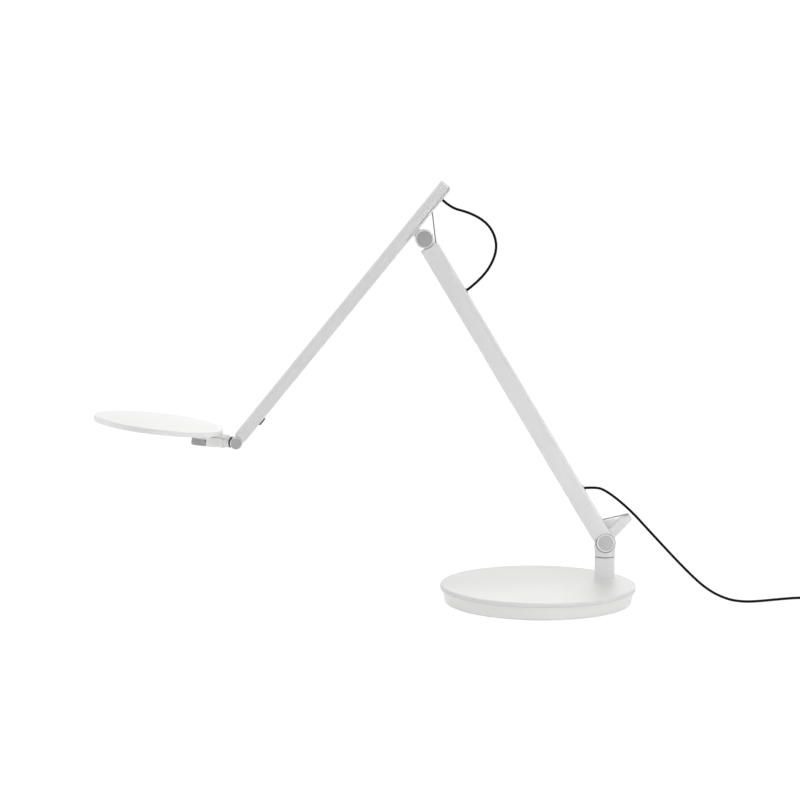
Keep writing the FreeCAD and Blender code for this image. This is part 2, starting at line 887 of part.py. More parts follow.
# Elbow tongue: a casting in the tube's top end, hollowed round the hub.
elbow_root = band("elbow_root", core, "lower_length - root_reach", LOWER_TOP)
elbow_hollow = cross_rod("elbow_hollow", "saddle_radius", "arm_depth", "0", "lower_length")
elbow_block = cut("elbow_block", elbow_root, elbow_hollow)
TONGUE = "elbow_radius - saddle_gap"
elbow_disc = cross_rod("elbow_disc", TONGUE, "tongue_thick / 2", "0", "lower_length")
elbow_stem = box(
    "elbow_stem",
    "13",
    "tongue_thick",
    "saddle_radius + 4",
    "-6.5",
    "-tongue_thick / 2",
    "lower_length - saddle_radius - 4",
)
elbow_solid = fuse("elbow_solid", elbow_block, elbow_disc, elbow_stem)
elbow_bore = cross_rod("elbow_bore", "axle_radius + run_gap", "arm_depth", "0", "lower_length")
anchor_x = size("arm_width") / 2 - 1.4
anchor_z = size("lower_length") - size("tip_setback") + 1.2
anchor_point = LOWER.to(anchor_x, anchor_z)
tray_point = UPPER.to(-size("upper_under"), size("rope_z"))
anchor_way = (tray_point - anchor_point).normalize()
lower_back = FreeCAD.Placement(LOWER.origin, FreeCAD.Rotation(V(0, -1, 0), size("lower_lean"))).inverse()
anchor_seat_shape = Part.makeCylinder(
    size("ferrule_radius") + size("cap_gap"), 2 * FERRULE, anchor_point - anchor_way * FERRULE, anchor_way
)
anchor_seat_shape.transformShape(lower_back.toMatrix())
anchor_seat = shaped("anchor_seat", anchor_seat_shape)
node("elbow_tongue", on_lower(cut("elbow_tongue_cut", elbow_solid, elbow_bore, anchor_seat)))
anchor_out = Part.makeCylinder(size("ferrule_radius"), FERRULE, anchor_point - anchor_way * FERRULE, anchor_way)
anchor_in = Part.makeCylinder(
    size("rope_radius") + size("cap_gap"), FERRULE * 0.5, anchor_point - anchor_way * FERRULE * 0.5, anchor_way
)
node("elbow_ferrule", shaped("elbow_ferrule_shape", anchor_out.cut(anchor_in)))


def grommet(name, x, z):
    """A bushing with a small flange, along X, with the flange at its far end."""
    sleeve_part = rod(name + "_sleeve", "grommet_radius - cap_gap", "arm_wall", f"{x} - arm_wall", "0", z, "X")
    flange = rod(name + "_flange", "grommet_radius + 0.6", "grommet_proud", x, "0", z, "X")
    bore = rod(name + "_bore", "cord_radius + grommet_gap", "3 * arm_wall", f"{x} - 1.5 * arm_wall", "0", z, "X")
    return cut(name + "_cut", fuse(name + "_solid", sleeve_part, flange), bore)


arm_grommets = group(
    "arm_grommet_set",
    grommet("low_grommet", WIDE, "low_cord_z"),
    grommet("high_grommet", WIDE, HIGH_CORD),
)
node("arm_grommets", on_lower(arm_grommets))

# ---------------------------------------------------------------- upper arm
UNDER = "-upper_under"
OVER = "-(upper_under + upper_height)"
UPPER_END = "-(hinge_reach - hinge_end)"
CAP_THICK = "tray_thick / 2 + tray_gap"


def upper_profile(owner, name, start, length, less="0"):
    section(
        owner,
        name,
        f"{OVER} + {less}",
        f"{UNDER} - {less}",
        f"{HALF} - {less}",
        start,
        length,
        [
            (f"upper_round - {less}", lambda c: c.x < -size("upper_under") - size("upper_height") / 2),
        ],
    )


def across(test):
    """Picks straight edges that run across the arm."""
    return lambda e: (
        isinstance(e.Curve, Part.Line)
        and abs(e.tangentAt(e.FirstParameter).y) > 0.999
        and test(e.CenterOfMass)
    )


# Tube: a flatter extrusion, round along its top, open below the tail for the cover.
upper = body("upper_tube_body")
upper_profile(upper, "upper_tube", UPPER_END, f"tail_reach - ({CAP_THICK}) - ({UPPER_END})")
soften(upper, "upper_edges", "upper_edge", ridge(lambda c: near(c.x, -size("upper_under"))))
hollow(upper, "upper_hollow", f"{OVER} + arm_wall", f"{UNDER} - arm_wall", f"{HALF} - arm_wall")
soften(
    upper,
    "upper_hollow_round",
    "upper_round - arm_wall",
    ridge(lambda c: near(c.x, -size("upper_under") - size("upper_height") + size("arm_wall"))),
)
tray_notch = sketch(upper, "tray_notch", "XZ_Plane")
rectangle(tray_notch, f"{UNDER} - tray_thick - tray_gap", "0", "-(tray_start + tray_gap)", "2 * tail_reach")
pocket(upper, "tray_notch_cut", tray_notch)
tail_corner = size("tail_reach") - size("tray_thick") / 2 - size("tray_gap")
tray_floor = -size("upper_under") - size("tray_thick") - size("tray_gap")
soften(
    upper,
    "tail_corner",
    "tail_round - tray_thick / 2",
    across(lambda c: c.z > tail_corner - 0.1 and near(c.x, tray_floor)),
)
hinge_scoop = sketch(upper, "hinge_scoop", "XZ_Plane")
circle(hinge_scoop, "-hinge_offset", "-hinge_reach", "hinge_radius + hinge_clear")
pocket(upper, "hinge_scoop_cut", hinge_scoop)
node("upper_arm_tube", on_upper(upper))

upper_core = body("upper_core_body")
upper_profile(
    upper_core,
    "upper_core",
    "-hinge_reach - hinge_radius",
    "hinge_reach + hinge_radius + tail_reach",
    "(arm_wall + root_gap)",
)
upper_outer = body("upper_outer_body")
upper_profile(upper_outer, "upper_outer", "-tail_reach", "2 * tail_reach")

# Tail cover: a strip under the tail that turns up over its end, with ears for the rope guide.
cover = body("cover_body")
cover_face = sketch(cover, "cover_face", "XZ_Plane")
outline(
    cover_face,
    (UNDER, "-tray_start"),
    (UNDER, "tail_reach"),
    (OVER, "tail_reach"),
    (OVER, "tail_reach - tray_thick / 2"),
    (f"{UNDER} - tray_thick", "tail_reach - tray_thick / 2"),
    (f"{UNDER} - tray_thick", "-tray_start"),
)
pad(cover, "cover_pad", cover_face, "arm_depth", True)
soften(
    cover,
    "cover_bend",
    "tail_round",
    across(lambda c: near(c.z, size("tail_reach")) and near(c.x, -size("upper_under"))),
)
soften(
    cover,
    "cover_bend_inside",
    "tail_round - tray_thick / 2",
    across(
        lambda c: near(c.z, size("tail_reach") - size("tray_thick") / 2)
        and near(c.x, -size("upper_under") - size("tray_thick"))
    ),
)
cover_skin = common("cover_skin", cover, upper_outer)
GUIDE_X = "-(upper_under + 4.8)"
GUIDE_Z = "rope_z + 0.8"
EAR = "upper_guide + 0.8"
ears = []
for n, y in enumerate(("2.4", "-4.4")):
    foot = box(f"ear_foot_{n}", "4.8 - tray_thick + 0.4", "2", f"2 * ({EAR})", GUIDE_X, y, f"{GUIDE_Z} - ({EAR})")
    top = rod(f"ear_top_{n}", EAR, "2", GUIDE_X, y, GUIDE_Z, "Y")
    ears += [foot, top]
neck_hole = box(
    "neck_hole",
    "3 * tray_thick",
    "arm_depth - 2 * (arm_wall - cap_gap)",
    "neck_width + 2 * cap_gap",
    f"{UNDER} - 2 * tray_thick",
    f"-({HALF} - arm_wall + cap_gap)",
    "-neck_width / 2 - cap_gap",
)
rope_slot = box("rope_slot", "2 * tray_thick", "3.2", "9", f"{UNDER} - 1.5 * tray_thick", "-1.6", "rope_z - 4.5")
loop_hole = rod("loop_hole", "grommet_radius", "3 * tray_thick", f"{UNDER} - 2 * tray_thick", "0", "loop_z", "X")
ear_bore = rod("ear_bore", "upper_guide / 2 + run_gap", "arm_depth", GUIDE_X, f"-{HALF}", GUIDE_Z, "Y")
tail_cover = cut(
    "tail_cover_cut",
    fuse("tail_cover_solid", cover_skin, *ears),
    neck_hole,
    rope_slot,
    loop_hole,
    ear_bore,
)
node("tail_cover", on_upper(tail_cover))
upper_guide_barrel = rod("upper_guide_barrel", "upper_guide", "4.6", GUIDE_X, "-2.3", GUIDE_Z, "Y")
upper_guide_pin = rod("upper_guide_pin", "upper_guide / 2", "8.8", GUIDE_X, "-4.4", GUIDE_Z, "Y")
node("elbow_guide", on_upper(fuse("elbow_guide_solid", upper_guide_barrel, upper_guide_pin)))

# Elbow hub: a casting that stands on a short neck through the cover.
hub_cheeks = cheeks("hub_cheeks", "elbow_radius", SLOT)
hub_neck = box(
    "hub_neck",
    "upper_under + tray_thick + 1 - elbow_radius / 2",
    "arm_depth - 2 * arm_wall",
    "neck_width",
    f"{UNDER} - tray_thick - 1",
    f"-({HALF} - arm_wall)",
    "-neck_width / 2",
)
hub_slot = cross_rod("hub_slot", f"{TONGUE} + washer_thick", SLOT)
hub_root_band = band("hub_root", upper_core, "-tray_start", "tray_start")
hub_root_trim = box(
    "hub_root_trim",
    "upper_under",
    "2 * arm_width",
    "4 * tray_start",
    f"{UNDER} - tray_thick - tray_gap",
    "-arm_width",
    "-2 * tray_start",
)
hub_root = cut("hub_root_cut", hub_root_band, hub_root_trim)
hub_top = cut("hub_top", fuse("hub_upper", hub_cheeks, hub_neck), hub_slot)
UPPER_ROPE_X = "-(upper_under + 4.8 + upper_guide + rope_radius + run_gap)"
hub_rope = rod("hub_rope", "rope_radius + 0.6", "4 * tray_start", UPPER_ROPE_X, "0", "-2 * tray_start")
hub = cut(
    "hub_cut",
    fuse("hub_solid", hub_root, hub_top),
    cap_seats("hub", "cap_radius", "cap_thick"),
    cross_rod("hub_bore", "axle_radius + run_gap", "arm_depth"),
    hub_rope,
)
node("elbow_hub", on_upper(hub))
node("elbow_axle", on_upper(axle("elbow_axle_set", "axle_radius")))
node("elbow_caps", on_upper(caps("elbow_cap", "cap_radius", "cap_thick")))
node("elbow_washers", on_upper(washers("elbow_washer")))

# Extension spring of the elbow and its block, in the tube below the hub.
UP_SPRING_TOP = "-(tray_start + 16)"
up_spring_out = rod("up_spring_out", "upper_spring", "spring_length", UPPER_ROPE_X, "0", f"{UP_SPRING_TOP} - spring_length")
up_spring_in = rod(
    "up_spring_in",
    "upper_spring - spring_wall",
    "spring_length - 2 * spring_wall",
    UPPER_ROPE_X,
    "0",
    f"{UP_SPRING_TOP} - spring_length + spring_wall",
)
node("elbow_spring", on_upper(cut("elbow_spring_cut", up_spring_out, up_spring_in)))
UP_ANCHOR = f"{UP_SPRING_TOP} - spring_length"
node("elbow_anchor", on_upper(band("elbow_anchor", upper_core, f"{UP_ANCHOR} - anchor_thick", UP_ANCHOR)))

# Elbow rope: from the ferrule at the lower arm's top corner, over the guide, to the spring.
UP_PATH = size("upper_guide") + size("rope_radius") + size("run_gap")
up_guide = UPPER.to(-size("upper_under") - 4.8, size("rope_z") + 0.8)
up_way = up_guide - anchor_point
up_swing = math.degrees(math.asin(UP_PATH / up_way.Length))
up_direct = FreeCAD.Rotation(V(0, 1, 0), up_swing).multVec(up_way).normalize()
up_touch = anchor_point + up_direct * math.sqrt(up_way.Length**2 - UP_PATH**2)
up_leave = up_guide + UPPER.way(-UP_PATH, 0)
up_last = UPPER.to(-size("upper_under") - 4.8 - UP_PATH, -size("tray_start") - 15)
high_rope, _ = swept(wrap(anchor_point, up_touch, up_guide, up_leave, up_last), size("rope_radius"))
node("elbow_rope", shaped("elbow_rope_shape", high_rope))
tail_grommet = grommet("tail_grommet", UNDER, "loop_z")
node("tail_grommet", on_upper(tail_grommet))

# Rubber bumper under the arm, where it would meet the lower arm.
BUMPER_Z = "hinge_reach - bumper_inset"
bumper = body("bumper_body")
bumper_face = sketch(bumper, "bumper_face", "YZ_Plane", UNDER)
rectangle(
    bumper_face,
    "-bumper_width / 2",
    "bumper_width / 2",
    f"-({BUMPER_Z}) - bumper_length / 2",
    f"-({BUMPER_Z}) + bumper_length / 2",
)
pad(bumper, "bumper_pad", bumper_face, "bumper_proud")
soften(
    bumper,
    "bumper_round",
    "bumper_proud * 0.7",
    lambda e: near(e.CenterOfMass.x, size("bumper_proud") - size("upper_under")),
)
node("arm_bumper", on_upper(bumper))

# ---------------------------------------------------------------- hinge of the head
HX = "-hinge_offset"
HZ = "-hinge_reach"
HINGE_SLOT = "hinge_tongue / 2 + washer_gap * 4"
end_cheeks = cheeks("end_cheeks", "hinge_radius", HINGE_SLOT, HX, HZ)
end_plate = box(
    "end_plate",
    "7.2",
    "arm_depth - 2 * (arm_wall + root_gap)",
    "16",
    f"{HX} - 2.8",
    f"-({HALF} - arm_wall - root_gap)",
    HZ,
)
end_gap = cross_rod("end_gap", "hinge_radius + 2 * hinge_clear", HINGE_SLOT, HX, HZ)
end_root = band("end_root", upper_core, f"{UPPER_END} + 2", f"{UPPER_END} + 24")
end_seat = cap_seats("end", "hinge_cap", "cap_thick", HX, HZ)
end_bore = cross_rod("end_bore", "hinge_pin + run_gap", "arm_depth", HX, HZ)
end_solid = fuse("end_solid", end_cheeks, end_plate, end_root)
node("hinge_fork", on_upper(cut("hinge_fork_cut", end_solid, end_gap, end_seat, end_bore)))
node("hinge_pin", on_upper(axle("hinge_pin_set", "hinge_pin", HX, HZ)))
node("hinge_caps", on_upper(caps("hinge_cap", "hinge_cap", "cap_thick", HX, HZ)))

# Link between hinge and neck: a tongue in the fork, a hollowed collar, and a hood over the neck's lug.
link_disc = cross_rod("link_disc", "hinge_radius - 0.4", "hinge_tongue / 2")
link_stem = box(
    "link_stem",
    "neck_start - 2",
    "hinge_tongue",
    "1.7 * hinge_radius",
    "-(neck_start - 2)",
    "-hinge_tongue / 2",
    "-0.85 * hinge_radius",
)
collar = rod("collar", "link_radius", "neck_start", "-pan_x", "0", "0", "X")
collar_scoop = cross_rod("collar_scoop", "link_clear", "arm_depth")
lug_scoop = rod("lug_scoop", "lug_radius + hood_gap", "4 * neck_drop", "-pan_x", "0", "hood_low - 4 * neck_drop")
collar_cut = cut("collar_cut", collar, collar_scoop, lug_scoop)
hood_round = rod("hood_round", "lug_radius", "hood_high - hood_low", "-pan_x", "0", "hood_low")
hood_strip = box(
    "hood_strip",
    "pan_x - link_clear",
    "2 * link_radius",
    "hood_high - hood_low",
    "-pan_x",
    "-link_radius",
    "hood_low",
)
link_bore = cross_rod("link_bore", "hinge_pin + run_gap", "arm_depth")
pan_hole = rod("pan_hole", "pan_pin", "4 * neck_drop", "-pan_x", "0", "-2 * neck_drop")
link_solid = fuse("link_solid", link_disc, link_stem, collar_cut, hood_round, hood_strip)
node("head_link", on_head(cut("head_link_cut", link_solid, link_bore, pan_hole)))
pan_shank = rod("pan_shank", "pan_pin - run_gap", "neck_drop + hood_high - 1.5", "-pan_x", "0", "1.5 - neck_drop")
pan_head = rod("pan_head", "pan_pin + 1.4", "1.4", "-pan_x", "0", "0.6 - neck_drop")
node("pan_pin", on_head(fuse("pan_pin_solid", pan_shank, pan_head)))

# ---------------------------------------------------------------- lamp head
# Neck: a moulded block that narrows to a round lug below the link's hood.
DISC_LOW = "disc_top - disc_thick"
SHELL_IN = "disc_top - shell_wall"
neck = body("neck_body")
neck_face = sketch(neck, "neck_face", "XY_Plane", "-neck_drop")
outline(
    neck_face,
    ("-pan_x", "-lug_radius"),
    ("-pan_x", "lug_radius"),
    ("-pan_x - 6.5", "lug_radius + 0.5"),
    ("-pan_x - 13.5", "neck_half"),
    ("-neck_end", "neck_half"),
    ("-neck_end", "-neck_half"),
    ("-pan_x - 13.5", "-neck_half"),
    ("-pan_x - 6.5", "-lug_radius - 0.5"),
)
pad(neck, "neck_pad", neck_face, f"neck_drop + {SHELL_IN}")
soften(neck, "neck_ends", "neck_round * 3", ridge(lambda c: near(c.x, -size("neck_end"))))
lug = rod("lug", "lug_radius", "neck_drop + hood_low - hood_gap", "-pan_x", "0", "-neck_drop")
neck_step = box(
    "neck_step",
    "2 * lug_radius + 6",
    "4 * neck_half",
    "disc_top",
    "-pan_x - lug_radius - 0.5",
    "-2 * neck_half",
    "hood_low - hood_gap",
)
neck_top = fuse("neck_top", cut("neck_stepped", neck, neck_step), lug)
pan_bore = rod("pan_bore", "pan_pin", "4 * neck_drop", "-pan_x", "0", "-2 * neck_drop")
pan_sink = rod("pan_sink", "pan_pin + 1.6", "2.1", "-pan_x", "0", "-neck_drop")
switch_well = box(
    "switch_well",
    "neck_end - switch_x + switch_length / 2 + switch_gap + 1",
    "neck_half",
    "neck_drop + switch_height + switch_gap",
    "-neck_end - 1",
    "-2 * neck_half + switch_depth + switch_travel + switch_gap",
    "-2 * neck_drop",
)
neck_cut = cut("neck_cut", neck_top, pan_bore, pan_sink, switch_well)
node("neck_housing", on_head(neck_cut))

# Switch: a rounded grey key in the lower edge of the neck's front side.
key = body("key_body")
key_face = sketch(key, "key_face", "XZ_Plane", "neck_half - switch_depth")
rectangle(
    key_face,
    "-switch_x - switch_length / 2",
    "-switch_x + switch_length / 2",
    "-neck_drop + 0.1",
    "switch_height - neck_drop",
)
pad(key, "key_pad", key_face, "switch_depth + 0.2")
soften(
    key,
    "key_round",
    "switch_round",
    across(lambda c: (c.x > -size("switch_x")) == (c.z > -size("neck_drop") + size("switch_height") / 2)),
)
node("dimmer_key", on_head(key))

# Shell: a thin dish with a soft upper edge.
DISC_X = "-disc_centre"
shell = turned(
    "shell_body",
    ("0", SHELL_IN),
    ("disc_radius - lens_inset", SHELL_IN),
    ("disc_radius - lens_inset", DISC_LOW),
    ("disc_radius", DISC_LOW),
    ("disc_radius", "disc_top"),
    ("0", "disc_top"),
)
soften(shell, "shell_edge", "disc_round", ring_edge(size("disc_radius"), size("disc_top")))
soften(
    shell,
    "shell_under",
    "disc_round / 3",
    ring_edge(size("disc_radius"), size("disc_top") - size("disc_thick")),
)
shell_moved = group("shell_moved", at(shell, DISC_X))
node("head_shell", on_head(shell_moved))


def round_plate(name, radius, low, thick):
    """A disc below the shell with a notch for the neck."""
    disc = rod(name + "_disc", radius, thick, DISC_X, "0", low)
    notch = box(
        name + "_notch",
        "2 * neck_end",
        "2 * (neck_half + lens_gap)",
        "2 * disc_thick",
        "-neck_end - lens_gap",
        "-neck_half - lens_gap",
        f"{low} - 0.5 * disc_thick",
    )
    return cut(name + "_cut", disc, notch)


lens = round_plate("lens", "disc_radius - lens_inset - lens_gap", f"{DISC_LOW} + lens_gap", "lens_thick")
node("head_lens", on_head(lens))
board = round_plate("board", "board_radius", f"{SHELL_IN} - board_thick", "board_thick")
node("led_board", on_head(board))

# ---------------------------------------------------------------- cords
CORD = size("cord_radius")


def route(points):
    """Straight runs joined by arcs as large as the runs allow. Returns the edges and the radii."""
    edges = []
    radii = []
    here = points[0]
    for before, corner_point, after in zip(points, points[1:], points[2:]):
        a = (before - corner_point).normalize()
        b = (after - corner_point).normalize()
        half_turn = (math.pi - a.getAngle(b)) / 2
        step = 0.45 * min((before - corner_point).Length, (after - corner_point).Length)
        radius = step / math.tan(half_turn)
        first = corner_point + a * step
        last = corner_point + b * step
        centre = corner_point + (a + b).normalize() * (radius / math.cos(half_turn))
        top = centre + (corner_point - centre).normalize() * radius
        edges.append(Part.LineSegment(here, first).toShape())
        edges.append(Part.Arc(first, top, last).toShape())
        radii.append(radius)
        here = last
    edges.append(Part.LineSegment(here, points[-1]).toShape())
    return edges, radii


def cord_node(name, points):
    edges, radii = route(points)
    solid, length = swept(edges, CORD)
    print(name, "length", round(length, 1), "radii", [round(r) for r in radii])
    node(name, shaped(name + "_shape", solid))
    return length


# Loop that carries the current past the elbow.
loop_start = UPPER.to(-size("upper_under") - 1, size("loop_z"))
loop_end = LOWER.to(size("arm_width") / 2 - 1, size("lower_length") - size("high_cord_drop"))
LOOP = [
    (28.9, 34.7),
    (48.4, 29.7),
    (63.1, 21.8),
    (74.1, 12.6),
    (81.0, -7.4),
    (77.3, -24.0),
    (68.4, -39.1),
    (51.9, -54.8),
]
loop_points = [loop_start] + [UPPER.origin + V(x, 0, z) for x, z in LOOP] + [loop_end]
cord_node("elbow_cord", loop_points)

# Mains cord: it leaves the arm's back level, sags past the horn and runs out along the desk.
hang_start = LOWER.to(size("arm_width") / 2 - 1, size("low_cord_z"))
HANG = [
    (66.5, 19.8, 127.7),
    (75.1, 19.8, 125.2),
    (88.6, 19.8, 116.2),
    (108.5, 19.6, 98.8),
    (130.0, 17.5, 75.0),
    (150.0, 14.1, 53.8),
]
hang_points = [hang_start] + [V(*p) for p in HANG]
cord_node("power_cord_hang", hang_points)
split = hang_points[-1]
split_way = (split - hang_points[-2]).normalize()
PITCH = size("coil_pitch")
COIL_OUT = size("coil_mid") + 1.34 * PITCH
FLOOR = [
    (192.5, 4.2, 12.7),
    (214.0, -2.6, 3.2),
    (232.0, -7.3, 1.5),
    (249.0, -4.0, 1.5),
    (272.0, 6.3, 1.5),
    (300.0, 17.0, 1.5),
]
coil_start = V(size("coil_x"), size("coil_y") - COIL_OUT, CORD)
coil_way = V(2 * math.pi * COIL_OUT, PITCH, 0).normalize()
floor_points = [split, split + split_way * 28]
floor_points += [V(*p) for p in FLOOR]
floor_points += [coil_start - coil_way * 24, coil_start]
cord_node("power_cord_floor", floor_points)

# Spare length, wound flat in four layers. Each layer runs in or out at a steady rate and the cord
# climbs to the next one in the half turn where it reverses.
LAYER = (size("coil_turns") - 1.5) / 4


def layer_of(turn):
    """Height in layers after a number of turns."""
    level = 0.0
    for step in (1, 2, 3):
        climb = (turn - step * LAYER - (step - 1) * 0.5) / 0.5
        climb = min(max(climb, 0.0), 1.0)
        level += climb * climb * (3 - 2 * climb)
    return level


def reach_of(turn):
    """Radius after a number of turns."""
    first = LAYER + 0.25
    full = LAYER + 0.5
    if turn <= first:
        return COIL_OUT - PITCH * turn
    low = COIL_OUT - PITCH * first
    beyond = (turn - first) % (2 * full)
    return low + PITCH * min(beyond, 2 * full - beyond)


def coil_at(turn):
    angle = 2 * math.pi * turn - math.pi / 2
    reach = reach_of(turn)
    return V(
        size("coil_x") + reach * math.cos(angle),
        size("coil_y") + reach * math.sin(angle),
        CORD + PITCH * layer_of(turn),
    )


def arc_from(start, way, end):
    """The arc that leaves a point in a direction and reaches another point."""
    chord = end - start
    half = way.getAngle(chord)
    tip = start + way * (chord.Length / (2 * math.cos(half)))
    middle = (start + end) * 0.5
    top = middle + (tip - middle).normalize() * (chord.Length / 2 * math.tan(half / 2))
    return Part.Arc(start, top, end).toShape()


def two_arcs(start, way, end, end_way):
    """A pair of arcs in line with each other and with both ends."""
    gap = end - start
    bend = 2 * (1 - way.dot(end_way))
    slope = 2 * gap.dot(way + end_way)
    if bend < 1e-9:
        reach = gap.dot(gap) / slope
    else:
        reach = (-slope + math.sqrt(slope * slope + 4 * bend * gap.dot(gap))) / (2 * bend)
    join = (start + way * reach + end - end_way * reach) * 0.5
    join_way = (end - end_way * reach - start - way * reach).normalize()
    return [arc_from(start, way, join), arc_from(join, join_way, end)]


knots = [0.0]
for layer in range(4):
    knots += [knots[-1] + LAYER * n / 11 for n in range(1, 12)]
    if layer < 3:
        knots += [knots[-1] + 0.25, knots[-1] + 0.5]
EPS = 1e-4
places = [coil_at(k) for k in knots]
ways = [(coil_at(k + EPS) - coil_at(k - EPS)).normalize() for k in knots]
ways[0] = coil_way
ways[-1] = (coil_at(knots[-1]) - coil_at(knots[-1] - EPS)).normalize()
lead = V(places[-1].x + 0.5, places[-1].y + size("plug_lead"), size("plug_height") / 2)
places.append(lead)
ways.append(V(0, 1, 0))
coil_edges = []
for number in range(len(places) - 1):
    coil_edges += two_arcs(places[number], ways[number], places[number + 1], ways[number + 1])
lead_end = lead + V(0, 2 * size("cord_radius"), 0)
coil_edges.append(Part.LineSegment(lead, lead_end).toShape())
coil_solid, coil_length = swept(coil_edges, CORD)
node("cord_coil", shaped("cord_coil_shape", coil_solid))
fine = [coil_at(size("coil_turns") * n / 900) for n in range(901)]
away = 900 / size("coil_turns") * 0.5
least = min(
    (fine[a] - fine[b]).Length for a in range(0, 901, 2) for b in range(a + int(away), 901)
)
print("cord_coil length", round(coil_length, 1), "least gap", round(least - 2 * CORD, 2))

# Plug-in power supply at the cord's end, with its strain relief and two blades.
RELIEF = size("relief_length")
relief = shaped(
    "plug_relief_shape",
    Part.makeCone(CORD * 1.3, CORD * 2.3, RELIEF, lead_end, V(0, 1, 0)),
)
node("plug_relief", relief)
plug_start = lead_end + V(0, RELIEF, 0)
plug = body("plug_shell")
plug_face = sketch(plug, "plug_face", "XY_Plane")
rectangle(plug_face, "-plug_width / 2", "plug_width / 2", "0", "plug_length")
pad(plug, "plug_pad", plug_face, "plug_height")
soften(plug, "plug_corners", "plug_round", ridge(lambda c: True))
soften(
    plug,
    "plug_rims",
    "plug_round / 3",
    lambda e: near(e.CenterOfMass.z, 0) or near(e.CenterOfMass.z, size("plug_height")),
)
plug.Placement.Base = V(plug_start.x, plug_start.y, 0)
node("plug_body", plug)
blades = []
for n, side in enumerate((-1, 1)):
    blades.append(
        shaped(
            f"blade_{n}",
            Part.makeBox(
                size("blade_thick"),
                size("blade_length"),
                size("blade_width"),
                V(
                    plug_start.x + side * size("blade_spread") / 2 - size("blade_thick") / 2,
                    plug_start.y + size("plug_length"),
                    (size("plug_height") - size("blade_width")) / 2,
                ),
            ),
        )
    )
node("plug_blades", group("blade_set", *blades))

# ---------------------------------------------------------------- checks and export
doc.recompute()
faults = []
for item in doc.Objects:
    if "Invalid" in item.State or "Error" in item.State:
        faults.append(item.Name)
for name, item in NODES.items():
    if item.Shape.isNull() or not item.Shape.isValid() or not item.Shape.Solids:
        faults.append(name)
if faults:
    raise ValueError("faults: " + ", ".join(faults))
for name, item in NODES.items():
    item.Shape.exportStep(f"parts/{name}.step")
    limits = item.Shape.BoundBox
    print(
        f"{name:18s} solids {len(item.Shape.Solids):2d} volume {item.Shape.Volume:10.1f}",
        f"x {limits.XMin:7.1f} {limits.XMax:7.1f} y {limits.YMin:6.1f} {limits.YMax:6.1f}",
        f"z {limits.ZMin:6.1f} {limits.ZMax:6.1f}",
    )
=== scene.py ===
import math

import bpy
import numpy as np
from mathutils import Matrix, Vector


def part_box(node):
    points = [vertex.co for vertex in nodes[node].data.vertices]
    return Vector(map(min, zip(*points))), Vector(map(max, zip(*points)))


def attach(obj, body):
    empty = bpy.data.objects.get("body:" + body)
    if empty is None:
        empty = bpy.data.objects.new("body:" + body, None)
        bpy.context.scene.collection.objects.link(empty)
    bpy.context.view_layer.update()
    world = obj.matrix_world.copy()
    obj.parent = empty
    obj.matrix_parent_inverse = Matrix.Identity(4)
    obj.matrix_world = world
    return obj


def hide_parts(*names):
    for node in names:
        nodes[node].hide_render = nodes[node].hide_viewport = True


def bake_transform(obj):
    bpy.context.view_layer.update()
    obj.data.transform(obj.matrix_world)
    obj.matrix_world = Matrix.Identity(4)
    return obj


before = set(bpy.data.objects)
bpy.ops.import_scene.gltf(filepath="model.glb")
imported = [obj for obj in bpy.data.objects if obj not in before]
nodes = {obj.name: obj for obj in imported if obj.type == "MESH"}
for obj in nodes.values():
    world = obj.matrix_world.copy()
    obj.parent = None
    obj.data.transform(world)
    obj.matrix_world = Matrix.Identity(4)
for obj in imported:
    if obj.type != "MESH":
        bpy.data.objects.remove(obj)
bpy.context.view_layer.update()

# ------------------------------------------------------------------------------------------
# Camera. It stands two and a half metres in front of the lamp, half a metre above the desk,
# and looks down by 6.42 degrees through a long lens, as the photograph was taken.
camera = bpy.data.objects.new("camera", bpy.data.cameras.new("camera"))
camera.data.sensor_width = 36.0
camera.data.lens = 99.0
camera.data.clip_end = 30.0
camera.matrix_world = Matrix.Translation((-0.1554, -2.4449, 0.5045)) @ Matrix.Rotation(
    math.radians(90 - 6.42), 4, "X"
)
bpy.context.scene.collection.objects.link(camera)
bpy.context.scene.camera = camera
bpy.context.scene.view_settings.view_transform = "Standard"


# ------------------------------------------------------------------------------------------
# Studio. A white card runs under the lamp and up behind it, in a pale room. Soft lamps stand
# above, behind, on both sides and low in front, and a narrow one lights the desk in front.
def linear(code):
    """Turns an sRGB hex colour to the linear values that a shader reads."""
    part = np.array([int(code[i : i + 2], 16) for i in (1, 3, 5)]) / 255
    low = part / 12.92
    high = ((part + 0.055) / 1.055) ** 2.4
    return (*np.where(part <= 0.04045, low, high).tolist(), 1.0)


def add(tree, kind, links=(), **settings):
    """Adds a shader node. A setting fills the property of its name, or else the socket."""
    item = tree.nodes.new(kind)
    for name, value in settings.items():
        if hasattr(item, name):
            setattr(item, name, value)
        else:
            item.inputs[name.replace("_", " ")].default_value = value
    for socket, source in dict(links).items():
        tree.links.new(source, item.inputs[socket])
    return item


def blank(name):
    """A material with an empty node tree and its output."""
    made = bpy.data.materials.new(name)
    made.use_nodes = True
    made.node_tree.nodes.clear()
    return made, made.node_tree, made.node_tree.nodes.new("ShaderNodeOutputMaterial")


def put_mesh(name, points, faces, smooth=True):
    """Makes an object at the origin from points in metres and faces."""
    mesh = bpy.data.meshes.new(name)
    mesh.from_pydata(np.asarray(points, float).tolist(), [], [tuple(f) for f in faces])
    mesh.validate()
    mesh.polygons.foreach_set("use_smooth", [smooth] * len(mesh.polygons))
    thing = bpy.data.objects.new(name, mesh)
    bpy.context.scene.collection.objects.link(thing)
    return thing


